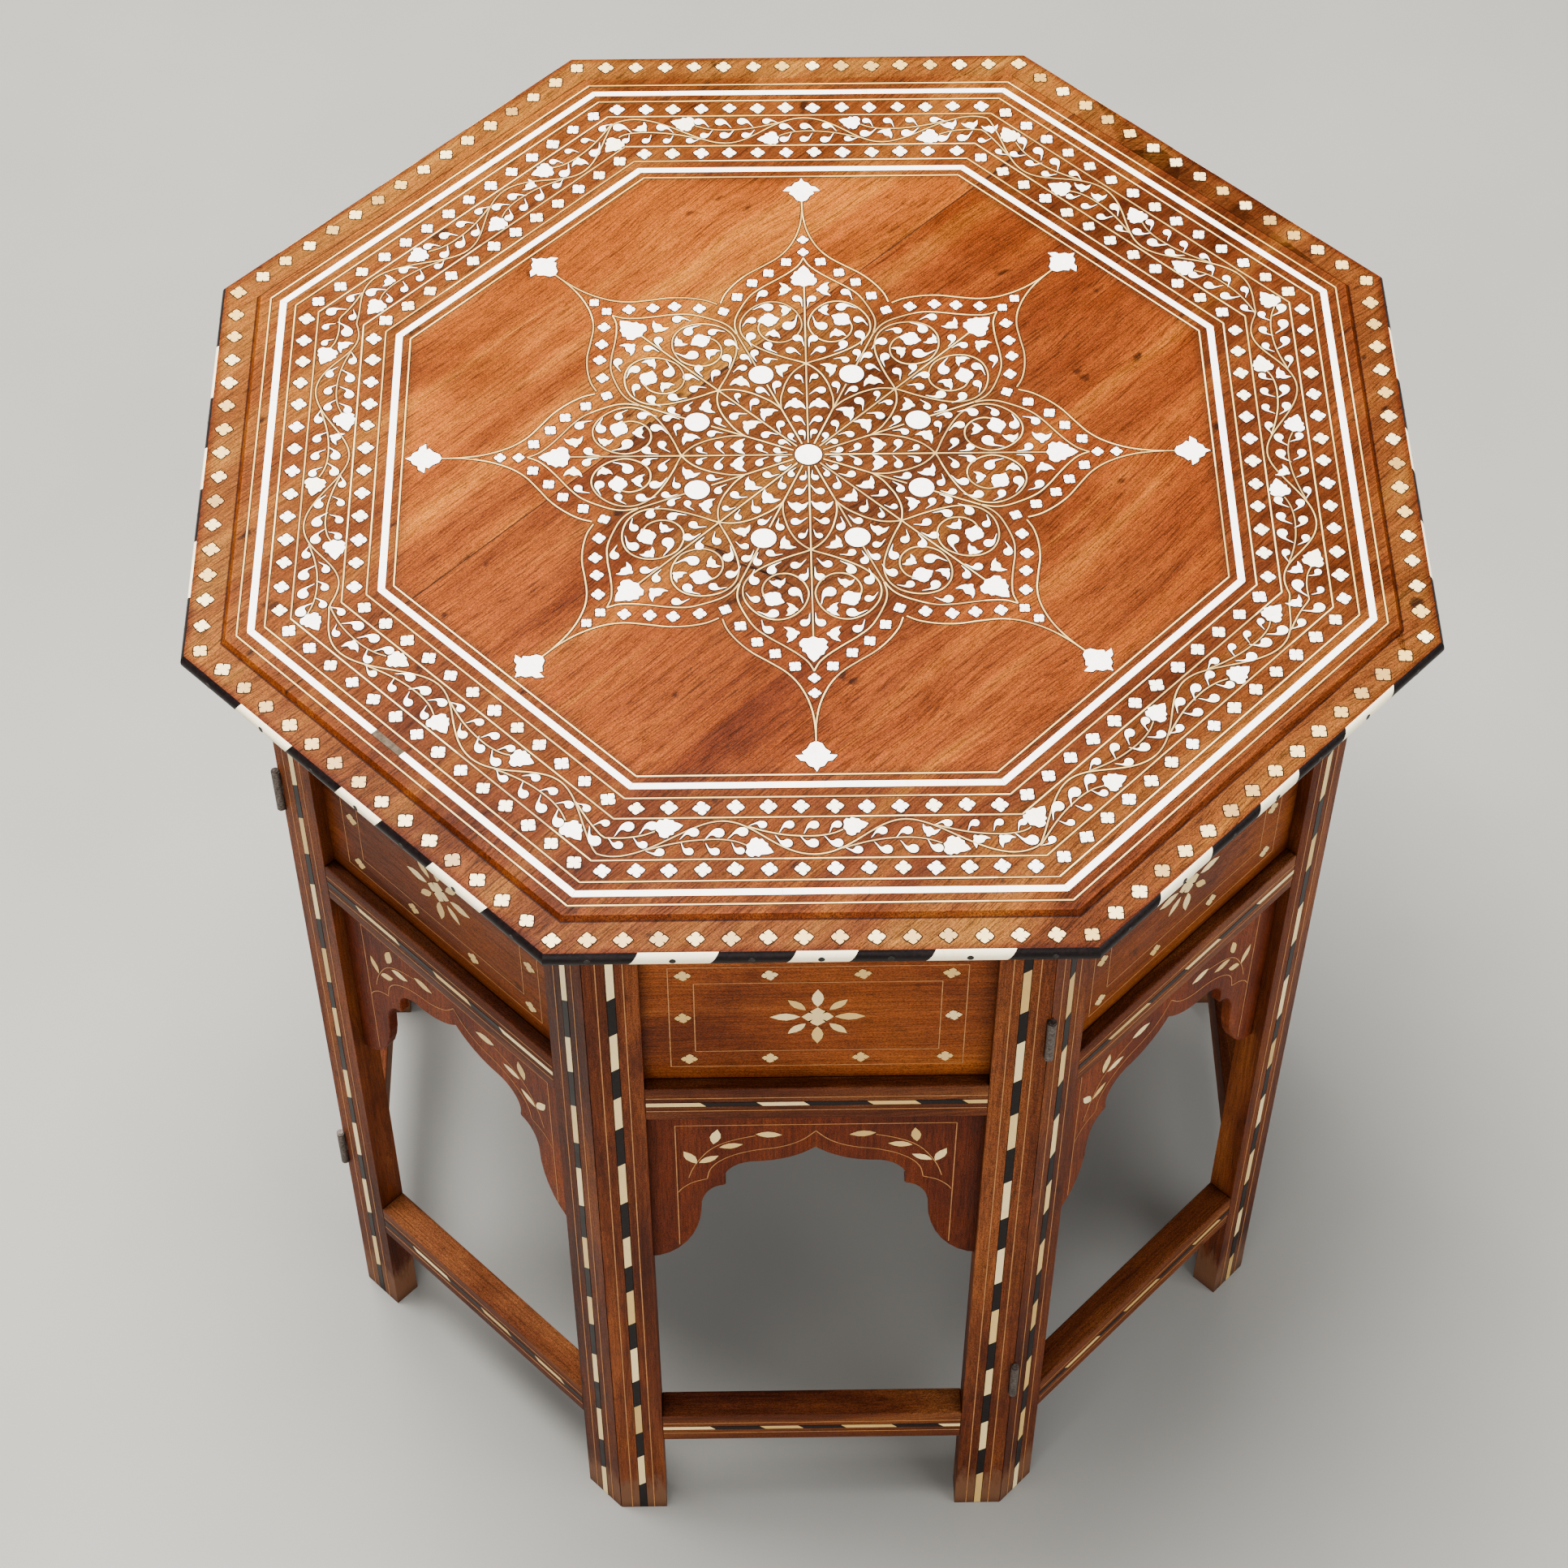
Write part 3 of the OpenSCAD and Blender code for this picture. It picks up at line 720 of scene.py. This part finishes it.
# Medallion, right half of one lobe: x beside the lobe's axis, d from the middle of the top
OUTER_OGEE = [(43.0, 106.3), (40.8, 112.7), (36.0, 120.0), (29.4, 127.0), (21.0, 133.2), (13.4, 139.2),
              (7.9, 146.0), (4.0, 154.0), (1.6, 162.0), (0.4, 170.0), (0.0, 176.0)]
INNER_OGEE = [(34.6, 84.0), (35.9, 91.0), (34.3, 98.7), (28.5, 110.5), (22.0, 117.2), (14.0, 123.2),
              (7.3, 128.6), (2.6, 133.6), (0.0, 139.0)]
BIG_LOOP = [(-13.0, 31.0), (-13.1, 38.0), (-12.0, 43.8), (-10.2, 50.0), (-6.4, 57.0), (0.0, 62.7),
            (9.5, 66.6), (18.0, 70.6), (25.2, 75.0), (30.2, 80.0), (33.0, 86.0), (32.8, 93.0), (29.6, 99.5),
            (24.5, 104.5), (17.8, 107.0), (10.4, 105.4), (4.2, 99.3), (1.6, 90.5), (4.4, 82.8),
            (10.0, 78.4), (16.7, 78.4), (21.8, 82.2), (23.9, 88.0), (22.6, 93.0)]
# Straight stems on a lobe's axis and on the ray after it
LOBE_STEM = [(0, 8), (0, 60), (0, 118)]
FINIAL_STEM = [(0, 175), (0, 178), (0, 181.5)]
RAY_STEM = [(0, 8), (0, 30), (0, 52)]
RAY_TAIL = [(0, 65.6), (0, 78), (0, 90.4)]
LOBE_QUATREFOILS = [(34.5, 110.7), (26.7, 120.8), (18.2, 128.0), (8.9, 136.0)]
# Each comma: its head (x, d), the tip of its tail (x, d), and whether its hollow side is turned over
LOBE_COMMAS = [(3.1, 15.4, 1.3, 10.4, 1), (5.4, 24.4, 0.8, 20.0, 1), (7.4, 44.3, 1.1, 41.3, 1),
               (4.3, 53.8, 1.2, 49.4, 1), (8.0, 72.4, 2.0, 68.7, 1), (4.2, 80.6, 1.0, 74.4, 1),
               (19.2, 76.0, 14.6, 69.8, 0), (27.6, 82.8, 27.8, 75.0, 0), (27.0, 94.0, 32.2, 89.8, 0),
               (8.6, 89.4, 3.6, 97.0, 0), (18.6, 103.0, 26.6, 101.8, 0), (4.0, 109.4, 0.8, 103.2, 1),
               (21.0, 113.4, 25.0, 107.4, 0)]
# Each winged leaf: its middle (x, d), a point that its horns face, and its size
LOBE_LEAVES = [(6.0, 34.6, 6.2, 20.0, 10.4), (10.0, 100.8, 20.0, 100.0, 7.9),
               (10.2, 116.0, 18.0, 117.0, 9.8), (16.2, 84.0, 17.0, 78.0, 8.2)]
LOZENGE_AT = (18.6, 94.0)
# On a lobe's own axis: two quatrefoils, a heart leaf and a finial. On the rays between: disc and quatrefoil
TIP_QUATREFOILS_AT = (143.2, 152.4)
LOBE_HEART_AT = 125.4
FINIAL_AT = 189.4
RAY_DISC_AT = 59.6
RAY_QUATREFOIL_AT = 108.6
# Sizes of the same pieces
BORDER_QUATREFOIL = 6.9
TIP_QUATREFOIL = 6.2
RAY_QUATREFOIL = 6.6
LOZENGE_LEN = 11.4
LOBE_HEART_LEN = 16.2
FINIAL_W = 19.5
MIDDLE_DISC_R = 6.7
RAY_DISC_R = 6.2
# The same as for the lobes, for the rays between them
RAY_COMMAS = [(4.8, 50.2, 1.6, 44.4, 1), (6.4, 67.6, 12.4, 66.4, 0), (3.1, 75.0, 1.0, 68.8, 1)]
RAY_LEAVES = [(11.4, 59.2, 16.6, 52.0, 9.8)]


def lobe_place(k, half):
    """Turns (x, d) of lobe k into plan, and gives its direction. half 0.5 takes the ray after the lobe."""
    a = (k + half) * math.tau / SIDES

    def place(x, d):
        return x * math.cos(a) + d * math.sin(a), x * math.sin(a) - d * math.cos(a)
    return place, a


def lay_leaves(face, rng, place, commas, leaves):
    """Lays comma leaves and winged leaves on both sides of an axis."""
    for side in (1, -1):
        for x, d, tip_x, tip_d, over in commas:
            shift = rng.uniform(-0.35, 0.35)
            head, tip = place(side * x, d + shift), place(side * tip_x, tip_d + shift)
            comma(face, rng, head, tip, over == (side > 0))
        for x, d, to_x, to_d, size in leaves:
            winged(face, rng, place(side * x, d), place(side * to_x, to_d), size)


def lay_curve(face, rng, place, points, width=CURVE_W, steps=5, cut=14):
    """A bent bone line, in hand-cut lengths."""
    path = [place(x, d) for x, d in smooth(points, steps)]
    for i in range(0, len(path) - 1, cut):
        if len(path) - i > 1:
            face.lay("bone", ribbon(path[i:i + cut + 1], width), 0.0, rng.uniform(*CURVE_TONES), LINE_GLUE)


def lay_half_lobe(face, rng, place, a, side):
    """The curves, quatrefoils and lozenge on one side of a lobe's axis."""
    def mirrored(x, d):
        return place(side * x, d)
    for points in (OUTER_OGEE, INNER_OGEE, BIG_LOOP):
        lay_curve(face, rng, mirrored, points)
    for x, d in LOBE_QUATREFOILS:
        lay_quatrefoil(face, rng, BORDER_QUATREFOIL, *mirrored(x, d), a + side * 0.7, edge=LEAF_GLUE)
    turn = a + side * (0.4 + rng.uniform(-0.2, 0.2))
    face.lay("bone", moved(LOZENGE, *mirrored(*LOZENGE_AT), turn, LOZENGE_LEN), 0.0, 1.0, LEAF_GLUE)


def medallion(face, rng):
    """The eight-lobed flower in the middle of the top."""
    face.lay("bone", circle(MIDDLE_DISC_R, 28), tone=1.0)
    for k in range(SIDES):
        place, a = lobe_place(k, 0)
        for side in (1, -1):
            lay_half_lobe(face, rng, place, a, side)
        lay_curve(face, rng, place, LOBE_STEM, LINE_W, 12, 8)
        lay_curve(face, rng, place, FINIAL_STEM)
        for d in TIP_QUATREFOILS_AT:
            lay_quatrefoil(face, rng, TIP_QUATREFOIL, *place(0, d), a, edge=LEAF_GLUE)
        heart = moved(HEART, *place(0, LOBE_HEART_AT), a - math.pi / 2, LOBE_HEART_LEN)
        face.lay("bone", heart, 0.0, 1.0, LEAF_GLUE)
        face.lay("bone", moved(FINIAL, *place(0, FINIAL_AT), a, FINIAL_W), 0.0, 1.0)
        lay_leaves(face, rng, place, LOBE_COMMAS, LOBE_LEAVES)
        between, b = lobe_place(k, 0.5)
        lay_curve(face, rng, between, RAY_STEM, LINE_W, 8, 8)
        lay_curve(face, rng, between, RAY_TAIL)
        face.lay("bone", moved(circle(RAY_DISC_R, 24), *between(0, RAY_DISC_AT)), 0.0, 1.0, LEAF_GLUE)
        lay_quatrefoil(face, rng, RAY_QUATREFOIL, *between(0, RAY_QUATREFOIL_AT), b, edge=LEAF_GLUE)
        lay_leaves(face, rng, between, RAY_COMMAS, RAY_LEAVES)


# The glue joint between the two boards, and old cracks with their widths, as points in plan
BOARD_JOINT = [(-248.0, -148.0), (-50.0, 50.0), (148.0, 248.0)]
CRACKS = [([(-52.0, -59.0), (-39.0, -65.0), (-27.0, -75.0)], 0.98),
          ([(-46.0, -62.0), (-35.0, -71.0), (-23.0, -77.0), (-11.0, -84.5)], 1.82),
          ([(-29.0, -73.0), (-17.0, -80.0), (-8.0, -87.0), (-3.0, -97.0)], 1.26),
          ([(-78.0, 23.0), (-86.0, 12.0), (-90.0, 3.0), (-98.0, -3.0)], 1.82),
          ([(-36.0, 63.0), (-46.0, 55.5), (-57.0, 43.0)], 2.24),
          ([(118.0, 219.0), (106.0, 206.5), (97.0, 196.0)], 1.68)]


def seams(face):
    """The dark joint line and the cracks, which the inlay pieces lie over."""
    face.stock["glue"].add(ribbon(smooth(BOARD_JOINT, 8), JOINT_W), -INLAY_DEEP, GLUE_PROUD / 4)
    for points, width in CRACKS:
        face.stock["glue"].add(ribbon(smooth(points, 5), width, 0.2), -INLAY_DEEP, GLUE_PROUD / 3)


def on_field(x, y, h):
    """A point of the top in metres, h mm above the raised field."""
    return x * MM, y * MM, (FIELD_Z + h) * MM


def top_inlay(stuff):
    rng = random.Random(11)
    face = Face(21)
    seams(face)
    for d in LINES_AT:
        octagon_line(face, d, LINE_W, LINE_PIECES, rng)
    quatrefoil_row(face, *INNER_ROW, rng, False)
    quatrefoil_row(face, *OUTER_ROW, rng, False)
    quatrefoil_row(face, *RIM_ROW, rng, True, BAND_Z - FIELD_Z, RIM_TONES)
    vine_band(face, rng)
    medallion(face, rng)
    face.build("top_inlay", on_field, "top", stuff)


FILLER_SIDE = PANELS.index("left_front")
FILLER_SPAN = (-23.0, -4.0)
FILLER_HALF_W = 1.8
FILLER_PROUD = 0.145


def filler_piece(d):
    """Grey filler where a length of the outer band has fallen out."""
    (x0, x1), low, high = FILLER_SPAN, d - FILLER_HALF_W, d + FILLER_HALF_W
    corners = ((x0, high), (x1, high), (x1, low), (x0, low))
    outline = [on_side(FILLER_SIDE, x, reach) for x, reach in corners]
    return outline if area_of(outline) > 0 else outline[::-1]


def broad_bands(stuff):
    """The two broad bone bands, cut into hand-made lengths."""
    rng = random.Random(5)
    for node, reach, pieces in (("inner_bone_band", BAND_IN, 3), ("outer_bone_band", BAND_OUT, 4)):
        face = Face(31)
        d = reach - BROAD_W / 2
        octagon_line(face, d, BROAD_W, pieces, rng, BROAD_GLUE, BROAD_TONES)
        piece = face.stock["bone"].build(node + "_pieces", on_field, stuff["bone"], "top", "bone")
        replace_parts(piece, node)
        face.stock["glue"].build(node + "_glue", on_field, stuff["glue"], "top", None)
        if node == "outer_bone_band":
            patch = face.stock["string"]
            patch.add(filler_piece(d), -INLAY_DEEP, FILLER_PROUD)
            patch.build(node + "_filler", on_field, stuff["filler"], "top", None)


# ---------------------------------------------------------------- inlay of the panels

STILE_STRIP_W = 3.7
RAIL_STRIP_W = 3.1
STRIP_LEAN = 3.0
STRIP_GLUE = 0.35
SHORTEST_BLOCK = 8
# Mean lengths of the ebony and bone blocks
STILE_BLOCKS = (29, 31)
RAIL_BLOCKS = (27, 26)
BLOCK_TONES = (0.06, 0.36)
PIECE_TONES = (0.08, 0.34)
STRING_W = 0.5
# Stringing beside the blocks: distances from their middle line
STILE_STRINGS = (-6.6, 6.2)
RAIL_STRINGS = (-5.6, 5.6)


def block_strip(face, rng, start, end, across, upright, lengths):
    """Ebony and bone blocks in turn with slanted ends, along a stile (upright) or a rail."""
    at, kind = start, 0 if rng.random() < 0.5 else 1
    lean = STRIP_LEAN if upright else -STRIP_LEAN
    half = (STILE_STRIP_W if upright else RAIL_STRIP_W) / 2
    first = True
    while at < end - 1:
        length = lengths[kind] * rng.uniform(0.82, 1.2)
        stop = end if at + length > end - SHORTEST_BLOCK else at + length
        a, b = (0 if first else lean / 2), (0 if stop == end else lean / 2)
        if upright:
            outline = [(across - half, at - a), (across + half, at + a), (across + half, stop + b),
                       (across - half, stop - b)]
        else:
            outline = [(at - a, across - half), (stop - b, across - half), (stop + b, across + half),
                       (at + a, across + half)]
        face.lay(("ebony", "bone")[kind], outline, 0.0, rng.uniform(*BLOCK_TONES), 0.0)
        at, kind, first = stop, 1 - kind, False
    pad = half + STRIP_GLUE
    bed = [(across - pad, start), (across + pad, start), (across + pad, end), (across - pad, end)]
    if not upright:
        bed = [(y, x) for x, y in bed[::-1]]
    face.stock["glue"].add(bed, -INLAY_DEEP, GLUE_PROUD)


def string_line(face, points, level):
    face.lay("string", ribbon(points, STRING_W), level, None, STRING_GLUE)


def petal(face, rng, x, z, turn, size, level):
    """An almond petal of a flower or a sprig."""
    face.lay("bone", moved(PETAL, x, z, turn, size), level, rng.uniform(*PIECE_TONES), PANEL_GLUE)


def panel_inlay(i, stuff):
    """The inlay of panel i. Its face has x along the side and the height as second coordinate."""
    rng = random.Random(100 + i)
    face = Face(200 + 10 * i)
    deep = -BOARD_IN
    foot, head = 0.6, BASE_H - 0.4
    for side in (-1, 1):
        mid = side * STILE_MID
        block_strip(face, rng, foot, head, mid, True, STILE_BLOCKS)
        for off in STILE_STRINGS:
            string_line(face, [(mid + off, foot), (mid + off, head)], 0.0)
    reach = STILE_IN - 0.5
    for z in RAIL_Z:
        block_strip(face, rng, -reach, reach, z, False, RAIL_BLOCKS)
        for off in RAIL_STRINGS:
            string_line(face, [(-reach, z + off), (reach, z + off)], 0.0)
    frieze(face, rng, deep)
    arch_spandrels(face, rng, deep)
    turn = i * math.tau / SIDES
    c, s = math.cos(turn), math.sin(turn)

    def place(x, z, h):
        y = -BASE_REACH - h
        return (x * c - y * s) * MM, (x * s + y * c) * MM, z * MM
    face.build(PANELS[i] + "_inlay", place, PANELS[i] + "_panel", stuff)


# Height of the middle of the frieze, and half sizes of its two rectangles
FRIEZE_MID = 496.5
FRIEZE_OUTER = (70.5, 41.5)
FRIEZE_INNER = (58.5, 28.5)
FRIEZE_QUATREFOIL = 8.2
# The flower's petals in turn: distance of the middle, and length. Its heart is a big quatrefoil
FLOWER_PETALS = ((15.5, 14.5), (14.0, 12.0))
FLOWER_HEART = 15.0
FLOWER_TONE = 0.25


def frieze(face, rng, deep):
    """Two rectangles of stringing, quatrefoils between them and an eight-petalled flower in the middle."""
    for half_x, half_z in (FRIEZE_OUTER, FRIEZE_INNER):
        low, high = FRIEZE_MID - half_z, FRIEZE_MID + half_z
        for z in (low, high):
            string_line(face, [(-half_x, z), (half_x, z)], deep)
        for x in (-half_x, half_x):
            string_line(face, [(x, low), (x, high)], deep)
    row = (FRIEZE_OUTER[1] + FRIEZE_INNER[1]) / 2
    column = (FRIEZE_OUTER[0] + FRIEZE_INNER[0]) / 2
    spots = [(x, s * row) for x in (-column + 2, -22, 22, column - 2) for s in (-1, 1)]
    for x, z in spots + [(-column, 0), (column, 0)]:
        lay_quatrefoil(face, rng, FRIEZE_QUATREFOIL, x + rng.uniform(-1, 1), FRIEZE_MID + z,
                       rng.uniform(-0.2, 0.2), deep, rng.uniform(*PIECE_TONES), PANEL_GLUE)
    for k in range(8):
        a = k * math.pi / 4 + math.pi / 2
        r, size = FLOWER_PETALS[k % 2]
        petal(face, rng, r * math.cos(a), FRIEZE_MID + r * math.sin(a), a, size, deep)
    lay_quatrefoil(face, rng, FLOWER_HEART, 0, FRIEZE_MID, 0.0, deep, FLOWER_TONE, PANEL_GLUE)


# Right half of the arch panel: x beside the middle, and height
SPRIG_STEM = [(64.0, 352.5), (62.2, 360.0), (59.2, 368.0), (53.9, 377.6), (47.6, 384.0), (39.1, 388.6),
              (30.1, 391.6)]
# Each sprig leaf: x beside the middle, height, direction in degrees, length
SPRIG_LEAVES = [(23.3, 392.5, 182, 13.7), (42.3, 382.4, 174, 12.5), (50.0, 391.0, 100, 13.5),
                (53.6, 370.0, 149, 11.8), (63.0, 372.0, 60, 12.6)]
ARCH_BORDER_X = 70.0
ARCH_BORDER_Z = 401.5
ARCH_BORDER_FOOT = 287.0
ARCH_LINE = [(0.0, 395.5), (6.0, 388.0), (13.0, 383.0), (21.0, 380.0), (31.0, 378.0), (41.0, 373.8),
             (48.5, 367.8), (53.0, 360.5), (54.6, 352.0)]
ARCH_LINE_END = [(54.6, 351.6), (62.0, 348.2), (67.2, 343.0), (69.4, 339.0)]


def arch_spandrels(face, rng, deep):
    """Border and arch lines in stringing, and a leafy sprig in each spandrel."""
    string_line(face, [(-ARCH_BORDER_X, ARCH_BORDER_Z), (ARCH_BORDER_X, ARCH_BORDER_Z)], deep)
    for side in (-1, 1):
        x = side * ARCH_BORDER_X
        string_line(face, [(x, ARCH_BORDER_FOOT), (x, ARCH_BORDER_Z)], deep)
        for line in (ARCH_LINE, ARCH_LINE_END, SPRIG_STEM):
            string_line(face, [(side * px, pz) for px, pz in smooth(line, 5)], deep)
        for px, pz, degrees, size in SPRIG_LEAVES:
            a = math.radians(degrees if side > 0 else 180 - degrees) + rng.uniform(-0.12, 0.12)
            petal(face, rng, side * px, pz, a, size * rng.uniform(0.92, 1.06), deep)


# ---------------------------------------------------------------- wood pieces

EDGE_EASE = 0.7
TOP_EDGE_EASE = 0.9
EDGING_TONE = 0.62
# Boards that are lighter, or darker and redder, than the rest of their stock
SHADES = {"frieze_board": (1.3, 1.3, 1.2), "arch_board": (0.80, 0.62, 0.75)}


def wood_pieces(stuff):
    """Every wood piece of the frame with eased edges, and its fibres along its length."""
    rng = random.Random(77)
    for i, panel in enumerate(PANELS):
        turn = i * math.tau / SIDES
        level = (math.cos(turn), math.sin(turn), 0)
        upright = (0, 0, 1)
        body = panel + "_panel"
        kinds = (("left_stile", upright, "frame_wood"), ("right_stile", upright, "frame_wood"),
                 ("rails", level, "rail_wood"), ("frieze_board", level, "panel_wood"),
                 ("arch_board", upright, "panel_wood"))
        for j, (kind, along, slot) in enumerate(kinds):
            node = panel + "_" + kind
            tone = rng.uniform(0.85, 1.12)
            shade = [tone * part for part in SHADES.get(kind, (1.0, 1.0, 1.0))]
            soften(node, node + "_piece", EDGE_EASE, along, stuff[slot], body, slot, 10 * i + j, shade)
        show_node(panel + "_hinges", stuff["hinge_iron"])
    diagonal, crossways = (1, 1, 0), (1, -1, 0)
    top_kinds = (("top_board_right", TOP_EDGE_EASE, diagonal, "top_wood", 301),
                 ("top_board_left", TOP_EDGE_EASE, diagonal, "top_wood_light", 302),
                 ("top_battens", EDGE_EASE, crossways, "frame_wood", 303))
    for node, ease, along, slot, seed in top_kinds:
        soften(node, node + "_piece", ease, along, stuff[slot], "top", slot, seed)


def show_node(node, material):
    """Gives a CAD node its material, where the node itself is what shows."""
    mesh = NODES[node].data
    mesh.materials.clear()
    mesh.materials.append(material)


def edging(stuff):
    """The ebony and bone pieces round the rim, and their pins."""
    show_node("edging_ebony", stuff["ebony"])
    mesh = NODES["edging_bone"].data.copy()
    mesh.materials.clear()
    store = mesh.attributes.new("tone", "FLOAT", "POINT")
    store.data.foreach_set("value", [EDGING_TONE] * len(mesh.vertices))
    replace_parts(link_piece("edging_bone_pieces", mesh, stuff["bone"], "top", "bone"), "edging_bone")
    show_node("edging_pins", stuff["pin_metal"])


make_camera()
make_lights()
make_floor()
materials = make_materials()
wood_pieces(materials)
edging(materials)
broad_bands(materials)
top_inlay(materials)
for number in range(SIDES):
    panel_inlay(number, materials)
